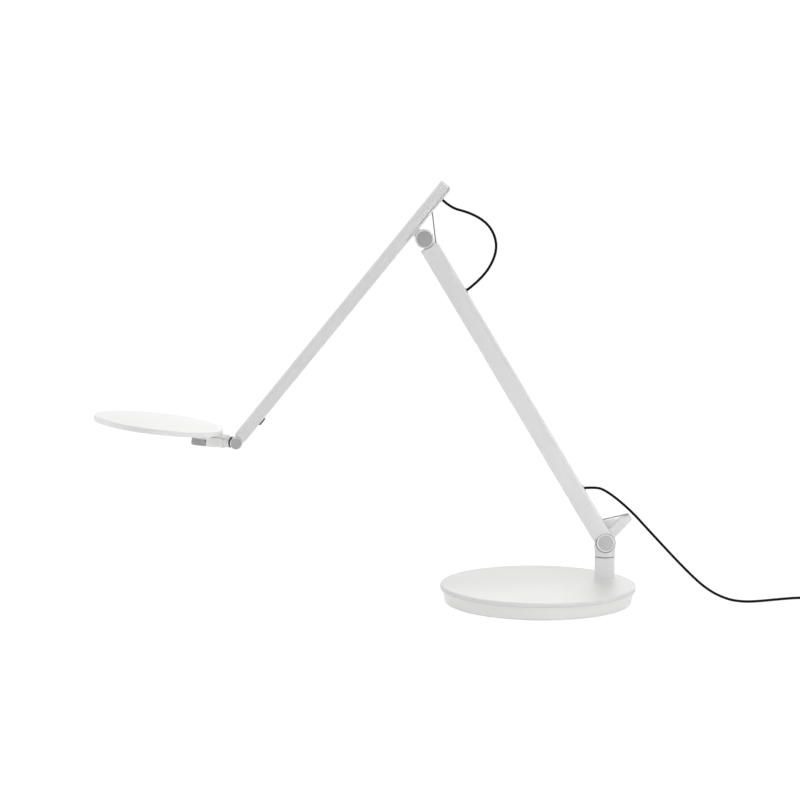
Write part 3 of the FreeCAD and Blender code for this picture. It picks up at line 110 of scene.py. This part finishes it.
# To the camera, and in a gloss or a clear part, the card mostly glows an even white. The dull
# white paint below the glow takes the lamp's shadow.
white_card, tree, out = blank("white painted studio card")
rays = add(tree, "ShaderNodeLightPath")
seen = add(
    tree,
    "ShaderNodeMath",
    {0: rays.outputs["Is Camera Ray"], 1: rays.outputs["Is Glossy Ray"]},
    operation="MAXIMUM",
)
seen_all = add(
    tree,
    "ShaderNodeMath",
    {0: seen.outputs[0], 1: rays.outputs["Is Transmission Ray"]},
    operation="MAXIMUM",
)
share = add(tree, "ShaderNodeMath", {0: seen_all.outputs[0]}, operation="MULTIPLY")
share.inputs[1].default_value = 0.86
card = add(tree, "ShaderNodeBsdfDiffuse", Color=linear("#F4F4F4"))
glow = add(tree, "ShaderNodeEmission", Color=(1, 1, 1, 1), Strength=1.11)
both = add(
    tree, "ShaderNodeMixShader", {0: share.outputs[0], 1: card.outputs[0], 2: glow.outputs[0]}
)
tree.links.new(both.outputs[0], out.inputs[0])

# The card is one sheet: flat for 3.3 m, then swept up behind the lamp in a quarter round. It
# lies a little below the foot, so that no face of the foot is in its plane.
front_edge, sweep_start, sweep_radius, top_edge = -1.1, 2.2, 0.8, 4.0
half_width, drop = 4.5, 0.0004
turn = np.linspace(0, math.pi / 2, 17)
depth = np.concatenate(
    [[front_edge], sweep_start + sweep_radius * np.sin(turn), [sweep_start + sweep_radius]]
)
height = np.concatenate([[0.0], sweep_radius - sweep_radius * np.cos(turn), [top_edge]])
side = np.array([-half_width, half_width])
sheet_points = np.stack(
    [np.tile(side, len(depth)), np.repeat(depth, 2), np.repeat(height, 2) - drop], 1
)
rows = np.arange(len(depth) - 1) * 2
sheet_faces = np.stack([rows, rows + 1, rows + 3, rows + 2], 1)
card_sheet = put_mesh("studio_card", sheet_points, sheet_faces)
card_sheet.data.materials.append(white_card)

# The room lights the lamp with half the white that the camera sees.
room = bpy.data.worlds.new("pale room")
bpy.context.scene.world = room
room.use_nodes = True
tree = room.node_tree
tree.nodes.clear()
rays = add(tree, "ShaderNodeLightPath")
dim = add(tree, "ShaderNodeBackground", Color=(1, 1, 1, 1), Strength=0.53)
bright = add(tree, "ShaderNodeBackground", Color=(1, 1, 1, 1), Strength=1.0)
pick = add(
    tree,
    "ShaderNodeMixShader",
    {0: rays.outputs["Is Camera Ray"], 1: dim.outputs[0], 2: bright.outputs[0]},
)
add(tree, "ShaderNodeOutputWorld", {0: pick.outputs[0]})


def soft_lamp(name, place, aim, size, watts, beam=180):
    """A round area lamp turned to a place, with its size in metres and its beam in degrees."""
    data = bpy.data.lights.new(name, "AREA")
    data.shape = "DISK"
    data.size = size
    data.spread = math.radians(beam)
    data.energy = watts
    lamp = bpy.data.objects.new(name, data)
    way = (Vector(aim) - Vector(place)).to_track_quat("-Z", "Y").to_matrix().to_4x4()
    lamp.matrix_world = Matrix.Translation(place) @ way
    bpy.context.scene.collection.objects.link(lamp)


soft_lamp("top_lamp", (0.1, -0.2, 1.6), (0, -0.1, 0), 1.3, 4.2)
soft_lamp("back_lamp", (0.2, 1.7, 1.7), (0, 0, 0.2), 1.4, 16.5)
soft_lamp("right_lamp", (2.4, 0.3, 0.8), (0, 0, 0.2), 1.0, 10.0)
soft_lamp("left_lamp", (-2.4, 0.2, 0.7), (0, 0, 0.2), 1.0, 9.0)
soft_lamp("low_front_lamp", (0.1, -2.0, 0.12), (0, 0, 0.12), 0.6, 3.4)
soft_lamp("table_lamp", (0.1, -1.0, 1.5), (0.1, -0.5, 0), 0.3, 1.2, beam=36)


# ------------------------------------------------------------------------------------------
# Powder coat of the metal parts: polyester powder, sprayed and baked, with the faint ripple of
# an orange skin about 0.8 mm across and a satin sheen. One white powder, with painted shade:
# the foot is painted darker than the arms, and the arms darker than the head.
def two_tone(tree, factor, first, second):
    """The colour socket of a mix of two linear colours."""
    mix = add(tree, "ShaderNodeMix", {"Factor": factor}, data_type="RGBA")
    for socket, colour in ((6, first), (7, second)):
        mix.inputs[socket].default_value = (*np.minimum(colour, 1).tolist(), 1)
    return mix.outputs[2]


def coated(name, colour, roughness, ripple_mm, depth, shade, coat=0.0):
    """A painted or moulded surface: a slow change of shade, a fine ripple and a gloss grain."""
    made, tree, out = blank(name)
    where = {"Vector": add(tree, "ShaderNodeTexCoord").outputs["Object"]}
    slow = add(tree, "ShaderNodeTexNoise", where, Scale=9.0, Detail=2.0)
    base = np.array(linear(colour)[:3])
    tint = two_tone(tree, slow.outputs["Fac"], base * (1 - shade), base * (1 + shade))
    fine = add(
        tree, "ShaderNodeTexNoise", where, Scale=1000.0 / ripple_mm, Detail=3.0, Roughness=0.55
    )
    gloss = add(
        tree,
        "ShaderNodeMapRange",
        {"Value": fine.outputs["Fac"]},
        To_Min=roughness - 0.05,
        To_Max=roughness + 0.05,
    )
    bump = add(
        tree, "ShaderNodeBump", {"Height": fine.outputs["Fac"]}, Strength=depth, Distance=0.00012
    )
    skin = add(
        tree,
        "ShaderNodeBsdfPrincipled",
        {
            "Base Color": tint,
            "Roughness": gloss.outputs["Result"],
            "Normal": bump.outputs["Normal"],
        },
        Coat_Weight=coat,
        Coat_Roughness=0.25,
    )
    tree.links.new(skin.outputs[0], out.inputs[0])
    return made


def finish_node(node, made):
    """Gives a CAD node its material."""
    mesh = nodes[node].data
    mesh.materials.clear()
    mesh.materials.append(made)


# Painted shade: the arm coat and the foot coat are the head's white made darker for the light that
# falls on them.
shaded_arm_powder = coated("satin polyester powder coat, white with painted shade", "#E8E8E8", 0.42, 0.8, 0.35, 0.012)
head_powder = coated("satin polyester powder coat, off white", "#F3F3F2", 0.4, 0.8, 0.3, 0.008)
shaded_foot_powder = coated("satin polyester powder coat, white with more painted shade", "#D3D3D2", 0.38, 0.8, 0.3, 0.01)

# ------------------------------------------------------------------------------------------
# Round foot. A pressed steel plate with a rolled edge lies on a shallow moulded dish, with a thin
# dark seam between them. A cast iron weight fills the dish, and a rubber pad closes it below.
finish_node("base_top_plate", shaded_foot_powder)
skirt_plastic = coated("moulded ABS, fine satin, pale grey", "#E8E8E7", 0.36, 0.5, 0.2, 0.008)
finish_node("base_skirt", skirt_plastic)
raw_iron = coated("sand cast iron, as cast", "#3E3D3B", 0.75, 1.6, 1.0, 0.15)
finish_node("base_weight", raw_iron)
pad_rubber = coated("pressed natural rubber sheet, black", "#232322", 0.85, 0.6, 0.8, 0.08)
finish_node("foot_pad", pad_rubber)


def bare_metal(name, colour, roughness, grain_mm):
    """Plated or drawn metal: a fine grain in its shade and in its gloss."""
    made, tree, out = blank(name)
    where = {"Vector": add(tree, "ShaderNodeTexCoord").outputs["Object"]}
    grain = add(tree, "ShaderNodeTexNoise", where, Scale=1000.0 / grain_mm, Detail=4.0)
    base = np.array(linear(colour)[:3])
    shade = two_tone(tree, grain.outputs["Fac"], base * 0.9, base * 1.1)
    gloss = add(
        tree,
        "ShaderNodeMapRange",
        {"Value": grain.outputs["Fac"]},
        To_Min=roughness * 0.85,
        To_Max=roughness * 1.15,
    )
    skin = add(
        tree,
        "ShaderNodeBsdfPrincipled",
        {"Base Color": shade, "Roughness": gloss.outputs["Result"]},
        Metallic=1.0,
    )
    tree.links.new(skin.outputs[0], out.inputs[0])
    return made


zinc = bare_metal("zinc plated turned steel", "#B9BBBD", 0.32, 0.4)
for name in ("base_screws", "post_spindle", "spindle_nut"):
    finish_node(name, zinc)

# ------------------------------------------------------------------------------------------
# Post. A turned steel sleeve stands on the plate, and a dark nylon bush shows as the line of
# the swivel under the shoulder.
finish_node("post_sleeve", shaded_arm_powder)
nylon = coated("moulded nylon, black", "#38383A", 0.5, 0.5, 0.3, 0.05)
finish_node("swivel_bush", nylon)

# ------------------------------------------------------------------------------------------
# Shoulder, elbow and hinge. A die cast yoke holds the lower arm's knuckle and carries the horn.
# The round caps share one silver grey lacquer, with a different grey at each joint as painted
# shade. Axles and ferrules are steel, and washers, rope guides and spring anchors are nylon.
finish_node("shoulder_yoke", shaded_arm_powder)
# Painted shade: one lacquer in a different grey for each cap, set to the tone that the light gives
# it there.
for name, grey in (
    ("shoulder_caps", "#C4C4C4"),
    ("elbow_caps", "#A7A7A7"),
    ("hinge_caps", "#B4B4B4"),
):
    lacquer = coated("die cast zinc, silver grey lacquer", grey, 0.38, 0.6, 0.2, 0.02, coat=0.3)
    finish_node(name, lacquer)
for name in ("elbow_tongue", "elbow_hub", "head_link"):
    finish_node(name, shaded_arm_powder)
for name in ("shoulder_fork", "hinge_fork"):
    finish_node(name, head_powder)
for name in (
    "shoulder_axle",
    "elbow_axle",
    "hinge_pin",
    "pan_pin",
    "horn_ferrule",
    "elbow_ferrule",
):
    finish_node(name, zinc)
for name in (
    "shoulder_washers",
    "elbow_washers",
    "shoulder_guide",
    "elbow_guide",
    "shoulder_anchor",
    "elbow_anchor",
):
    finish_node(name, nylon)
spring_steel = bare_metal("oiled spring wire", "#84858A", 0.35, 0.3)
for name in ("shoulder_spring", "elbow_spring"):
    finish_node(name, spring_steel)

# ------------------------------------------------------------------------------------------
# Arms. Two extruded aluminium tubes, powder coated. The lower one is square and round at the
# back. The upper one is flatter, round on top, and has a cover under its tail.
for name in ("lower_arm_tube", "upper_arm_tube", "tail_cover"):
    finish_node(name, shaded_arm_powder)
bumper_rubber = coated("moulded rubber, dark grey", "#58585A", 0.7, 0.5, 0.5, 0.05)
finish_node("arm_bumper", bumper_rubber)
# Real black rubber on the grommets. The joint rings and fillers below use it as painted shade.
grommet_rubber_and_painted_shade = coated("moulded rubber, black", "#151515", 0.6, 0.5, 0.5, 0.06)
for name in ("arm_grommets", "tail_grommet", "plug_relief"):
    finish_node(name, grommet_rubber_and_painted_shade)

# ------------------------------------------------------------------------------------------
# Lamp head. A thin spun dish in off white with a soft edge, an opal acrylic diffuser below it,
# a moulded neck block and a grey dimmer key.
finish_node("head_shell", head_powder)
neck_plastic = coated("moulded ABS, fine grain, light grey", "#EEEEED", 0.48, 0.4, 0.4, 0.01)
finish_node("neck_housing", neck_plastic)
key_plastic = coated("moulded ABS, fine grain, mid grey", "#A3A3A6", 0.5, 0.3, 0.4, 0.02)
finish_node("dimmer_key", key_plastic)
solder_mask = coated("white solder mask", "#E8E8E4", 0.4, 0.5, 0.1, 0.01)
finish_node("led_board", solder_mask)
opal = coated("extruded opal acrylic, satin", "#F1F0EC", 0.3, 0.3, 0.12, 0.004)
finish_node("head_lens", opal)


# ------------------------------------------------------------------------------------------
# Wire ropes of the balance. Six strands laid to the right round a core, 1.5 mm thick in all.
# One runs from the horn's tip into the lower arm, the other from that arm's top to the tray.
def spline_points(points):
    """The line of an order 3 NURBS through a route's control points, as an array."""
    curve = bpy.data.curves.new("route", "CURVE")
    curve.dimensions = "3D"
    curve.resolution_u = 24
    line = curve.splines.new("NURBS")
    line.points.add(len(points) - 1)
    for item, point in zip(line.points, points):
        item.co = (*point, 1.0)
    line.order_u = 3
    line.use_endpoint_u = True
    probe = bpy.data.objects.new("route", curve)
    mesh = bpy.data.meshes.new_from_object(probe)
    found = np.empty(len(mesh.vertices) * 3)
    mesh.vertices.foreach_get("co", found)
    bpy.data.objects.remove(probe)
    bpy.data.curves.remove(curve)
    bpy.data.meshes.remove(mesh)
    return found.reshape(-1, 3)


def even(line, step):
    """Points at an even distance along a line, and the line's length."""
    gaps = np.linalg.norm(np.diff(line, axis=0), axis=1)
    along = np.concatenate([[0], np.cumsum(gaps)])
    count = max(int(along[-1] / step), 2)
    want = np.linspace(0, along[-1], count + 1)
    return np.stack([np.interp(want, along, line[:, k]) for k in range(3)], 1), along[-1]


def frames(line):
    """Two directions square to a line and to each other, which turn as little as they can."""
    way = np.gradient(line, axis=0)
    way /= np.linalg.norm(way, axis=1)[:, None]
    across = np.empty_like(way)
    first = np.cross(way[0], (0, 1, 0))
    if np.linalg.norm(first) < 0.3:
        first = np.cross(way[0], (0, 0, 1))
    across[0] = first / np.linalg.norm(first)
    for k in range(1, len(way)):
        flat = across[k - 1] - way[k] * across[k - 1].dot(way[k])
        across[k] = flat / np.linalg.norm(flat)
    return across, np.cross(way, across)


def circles(across, up, sides):
    """A circle of radius one for each pair of directions, as points round the origin."""
    turn = np.linspace(0, 2 * np.pi, sides, endpoint=False)[None, :, None]
    return across[:, None] * np.cos(turn) + up[:, None] * np.sin(turn)


def tube_faces(rings, sides, first=0):
    """Quads between rings, and one face over each end."""
    ring, spoke = np.meshgrid(np.arange(rings - 1), np.arange(sides), indexing="ij")
    a = first + ring * sides + spoke
    b = first + ring * sides + (spoke + 1) % sides
    quads = np.stack([a, b, b + sides, a + sides], -1).reshape(-1, 4).tolist()
    start = list(range(first, first + sides))[::-1]
    end = list(range(first + (rings - 1) * sides, first + rings * sides))
    return quads + [start, end]


def rope(name, route, thick=0.0015, lay_length=0.0098):
    """Six strands wound round a core along a route's smooth line, each of them a thin tube."""
    strands, sides, steps_per_lay, overlap = 6, 8, 14, 1.02
    line, length = even(spline_points(route), lay_length / steps_per_lay)
    across, up = frames(line)
    strand = thick / 6
    along = np.linspace(0, length, len(line))
    points = []
    faces = []
    for k in range(strands + 1):
        phase = 2 * np.pi * (along / lay_length + k / strands)
        out = across * np.cos(phase)[:, None] + up * np.sin(phase)[:, None]
        middle = line + out * (thick / 2 - strand) * (k < strands)
        ring = circles(*frames(middle), sides)
        faces += tube_faces(len(line), sides, len(points) * len(line) * sides)
        points.append((middle[:, None] + strand * overlap * ring).reshape(-1, 3))
    wire = put_mesh(name, np.concatenate(points), faces)
    wire.data.materials.append(rope_steel)
    return wire


rope_steel = bare_metal("galvanised steel strand", "#9FA1A4", 0.38, 0.2)
shoulder_route = [
    (0.10171, 0.0198, 0.09694),
    (0.06957, 0.0198, 0.08963),
    (0.06176, 0.0198, 0.08785),
    (0.05766, 0.0198, 0.09472),
    (0.03621, 0.0198, 0.13055),
]
shoulder_wire = rope("shoulder_wire_rope", shoulder_route)
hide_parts("shoulder_rope")
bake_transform(shoulder_wire)

elbow_route = [
    (-0.11551, 0.0198, 0.40568),
    (-0.11995, 0.0198, 0.44292),
    (-0.12066, 0.0198, 0.44888),
    (-0.12446, 0.0198, 0.44424),
    (-0.16128, 0.0198, 0.39918),
]
elbow_wire = rope("elbow_wire_rope", elbow_route)
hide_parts("elbow_rope")
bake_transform(elbow_wire)


# ------------------------------------------------------------------------------------------
# Painted shade in the joints' gaps. A thin black ring lies round each elbow cap and round each
# face of the shoulder's knuckle, and black fillers close the gaps of the head's link.
def corners(node):
    """The low and the high corner of a node's box."""
    return [np.array(corner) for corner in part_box(node)]


def painted_shade_ring(name, body, node, radius, thick):
    """Two rings of painted shade, square to Y on a node's axis, one at each of its outer faces."""
    steps, sides, sunk = 72, 8, 0.4
    low, high = corners(node)
    middle = (low + high) / 2
    turns, rolls = np.meshgrid(
        np.linspace(0, 2 * np.pi, steps, endpoint=False),
        np.linspace(0, 2 * np.pi, sides, endpoint=False),
        indexing="ij",
    )
    reach = radius + thick * np.cos(rolls)
    row, spoke = np.meshgrid(np.arange(steps), np.arange(sides), indexing="ij")
    points = []
    faces = []
    for face, inward in ((low[1], 1), (high[1], -1)):
        x = middle[0] + reach * np.cos(turns)
        y = face + inward * thick * sunk + thick * np.sin(rolls)
        z = middle[2] + reach * np.sin(turns)
        first = len(points) * steps * sides
        points.append(np.stack([x, y, z], -1).reshape(-1, 3))
        quad = [
            first + (row + i) % steps * sides + (spoke + j) % sides
            for i, j in ((0, 0), (0, 1), (1, 1), (1, 0))
        ]
        faces += np.stack(quad, -1).reshape(-1, 4).tolist()
    ring = put_mesh(name, np.concatenate(points), faces)
    ring.data.materials.append(grommet_rubber_and_painted_shade)
    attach(ring, body)


# Painted shade: black rings where the gaps round these caps lie in shadow.
painted_shade_ring("elbow_cap_painted_shade", "upper_arm", "elbow_caps", radius=0.00867, thick=0.00018)
painted_shade_ring("shoulder_knuckle_painted_shade", "lower_arm", "shoulder_caps", radius=0.01055, thick=0.00022)

head_slope = math.radians(7)
hinge = sum(corners("hinge_pin")) / 2


def painted_shade_filler(name, grid):
    """A closed black solid of painted shade, from rings of four places, in the head's frame.

    That frame starts at the hinge, and its X runs along the neck, which slopes at rest."""
    x, y, z = np.moveaxis(grid, -1, 0)
    points = np.stack(
        [
            hinge[0] + x * math.cos(head_slope) + z * math.sin(head_slope),
            hinge[1] + y,
            hinge[2] - x * math.sin(head_slope) + z * math.cos(head_slope),
        ],
        -1,
    )
    faces = tube_faces(grid.shape[0], grid.shape[1])
    filler = put_mesh(name, points.reshape(-1, 3), faces, smooth=False)
    filler.data.materials.append(grommet_rubber_and_painted_shade)
    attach(filler, "head_link")


# Painted shade: two black pads fill the gap between the hinge's barrel and the link's scooped end.
inner, outer = 0.00735, 0.0089
near, far = 0.00305, 0.0060
shade_pad_edges = [(inner, near), (inner, far), (outer, far), (outer, near)]
shade_pad_turn = np.radians(np.linspace(180 - 44, 180 + 44, 25))
# Painted shade: the pads and the strip are black where these gaps lie in shadow.
for side, name in ((-1, "front_hinge_painted_shade"), (1, "back_hinge_painted_shade")):
    grid = np.array(
        [[(r * np.cos(a), side * y, r * np.sin(a)) for r, y in shade_pad_edges] for a in shade_pad_turn]
    )
    painted_shade_filler(name, grid if side > 0 else grid[:, ::-1])

# A curved black strip of painted shade fills the gap between the link's collar and the round lug
# of the neck. It is as tall as the round collar at each place, and stops below the hood.
pan_axis_x = -0.0205
inner, outer = 0.00828, 0.00862
collar_radius, gap_radius, hood_level = 0.0069, 0.00845, 0.0034
strip = []
for a in np.radians(np.linspace(-54, 54, 31)):
    tall = math.sqrt(collar_radius**2 - (gap_radius * math.sin(a)) ** 2)
    top = min(tall, hood_level)
    strip_edges = [(inner, -tall), (outer, -tall), (outer, top), (inner, top)]
    strip.append([(pan_axis_x + r * math.cos(a), r * math.sin(a), z) for r, z in strip_edges])
painted_shade_filler("pan_gap_painted_shade", np.array(strip))

# ------------------------------------------------------------------------------------------
# Cord. A round two-core lead with a black vinyl jacket, 3 mm thick. A short loop carries the
# current past the elbow. The mains lead hangs from the lower arm, runs out over the desk and
# ends in a plug-in supply, with its spare length wound beside it.
jacket, tree, out = blank("extruded soft vinyl, black")
where = {"Vector": add(tree, "ShaderNodeTexCoord").outputs["Object"]}
ripple = add(tree, "ShaderNodeTexNoise", where, Scale=420.0, Detail=2.0).outputs["Fac"]
sheen = add(tree, "ShaderNodeMapRange", {"Value": ripple}, To_Min=0.44, To_Max=0.56)
swell = add(tree, "ShaderNodeBump", {"Height": ripple}, Strength=0.25, Distance=0.0002)
skin = add(
    tree,
    "ShaderNodeBsdfPrincipled",
    {
        "Base Color": two_tone(tree, ripple, linear("#010101")[:3], linear("#030303")[:3]),
        "Roughness": sheen.outputs["Result"],
        "Normal": swell.outputs["Normal"],
    },
    Specular_IOR_Level=0.12,
)
tree.links.new(skin.outputs[0], out.inputs[0])

cord_radius = 0.0015


def lead(name, route, step=0.0012):
    """A round lead carried along a route's smooth line, and that line."""
    sides = 14
    line = even(spline_points(route), step)[0]
    points = line[:, None] + cord_radius * circles(*frames(line), sides)
    thing = put_mesh(name, points.reshape(-1, 3), tube_faces(len(line), sides))
    thing.data.materials.append(jacket)
    return thing, line


loop_route = [
    (-0.10890, 0.0198, 0.45284),
    (-0.09922, 0.0198, 0.44333),
    (-0.07972, 0.0198, 0.43833),
    (-0.06542, 0.0198, 0.43133),
    (-0.05572, 0.0198, 0.42303),
    (-0.04932, 0.0198, 0.41163),
    (-0.04722, 0.0198, 0.39863),
    (-0.05082, 0.0198, 0.38463),
    (-0.05972, 0.0198, 0.36953),
    (-0.07622, 0.0198, 0.35383),
    (-0.08189, 0.0198, 0.35028),
]
elbow_lead, elbow_path = lead("elbow_lead", loop_route, 0.0008)
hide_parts("elbow_cord")
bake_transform(elbow_lead)

hang_route = [
    (0.05178, 0.01980, 0.12693),
    (0.06650, 0.01980, 0.12770),
    (0.07510, 0.01980, 0.12520),
    (0.08860, 0.01980, 0.11620),
    (0.10850, 0.01960, 0.09880),
    (0.13000, 0.01750, 0.07500),
    (0.15000, 0.01410, 0.05380),
]
hanging_lead, hanging_path = lead("hanging_lead", hang_route, 0.0008)
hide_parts("power_cord_hang")
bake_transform(hanging_lead)

# The spare length lies in four flat layers. Each runs in or out by one pitch in a turn, and the
# cord climbs to the next layer in the half turn where it reverses.
pitch = 0.00355
turns = 12.25
climb = 0.5
layer = (turns - 3 * climb) / 4
outside = 0.0175 + 1.34 * pitch
count = 16
turn = np.arange(0, int(turns * count) + 1) / count
climbs = [np.clip((turn - k * layer - (k - 1) * climb) / climb, 0, 1) for k in (1, 2, 3)]
level = sum(c * c * (3 - 2 * c) for c in climbs)
first = layer + climb / 2
full = layer + climb
beyond = (turn - first) % (2 * full)
reach = np.where(
    turn <= first,
    outside - pitch * turn,
    outside - pitch * first + pitch * np.minimum(beyond, 2 * full - beyond),
)
# The control points lie outside their curve, which touches the middles of the lines between.
reach = reach / math.cos(math.pi / count)
angle = 2 * np.pi * turn - np.pi / 2
coil_x, coil_y = 0.352, 0.034
coil = np.stack(
    [coil_x + reach * np.cos(angle), coil_y + reach * np.sin(angle), cord_radius + pitch * level], 1
)
desk_route = [
    (0.15000, 0.01410, 0.05380),
    (0.16908, 0.01086, 0.03357),
    (0.19250, 0.00420, 0.01270),
    (0.21400, -0.00260, 0.00320),
    (0.23200, -0.00730, 0.00150),
    (0.24900, -0.00400, 0.00150),
    (0.27200, 0.00630, 0.00150),
    (0.30000, 0.01700, 0.00150),
    (0.32801, 0.01113, 0.00150),
]
supply_x, supply_y, supply_z = 0.37476, coil_y + 0.022, 0.013
supply_entry = [(supply_x, supply_y, supply_z), (supply_x, supply_y + 0.003, supply_z)]
desk_lead, desk_path = lead("desk_lead", desk_route + coil.tolist() + supply_entry)
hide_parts("power_cord_floor", "cord_coil")
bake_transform(desk_lead)

# Plug-in supply at the end of the cord: a moulded black box with two nickel plated blades.
supply_plastic = coated(
    "moulded polycarbonate, fine grain, black", "#1B1B1C", 0.45, 0.5, 0.6, 0.08
)
finish_node("plug_body", supply_plastic)
blade_metal = bare_metal("nickel plated brass", "#C9C2AE", 0.25, 0.5)
finish_node("plug_blades", blade_metal)
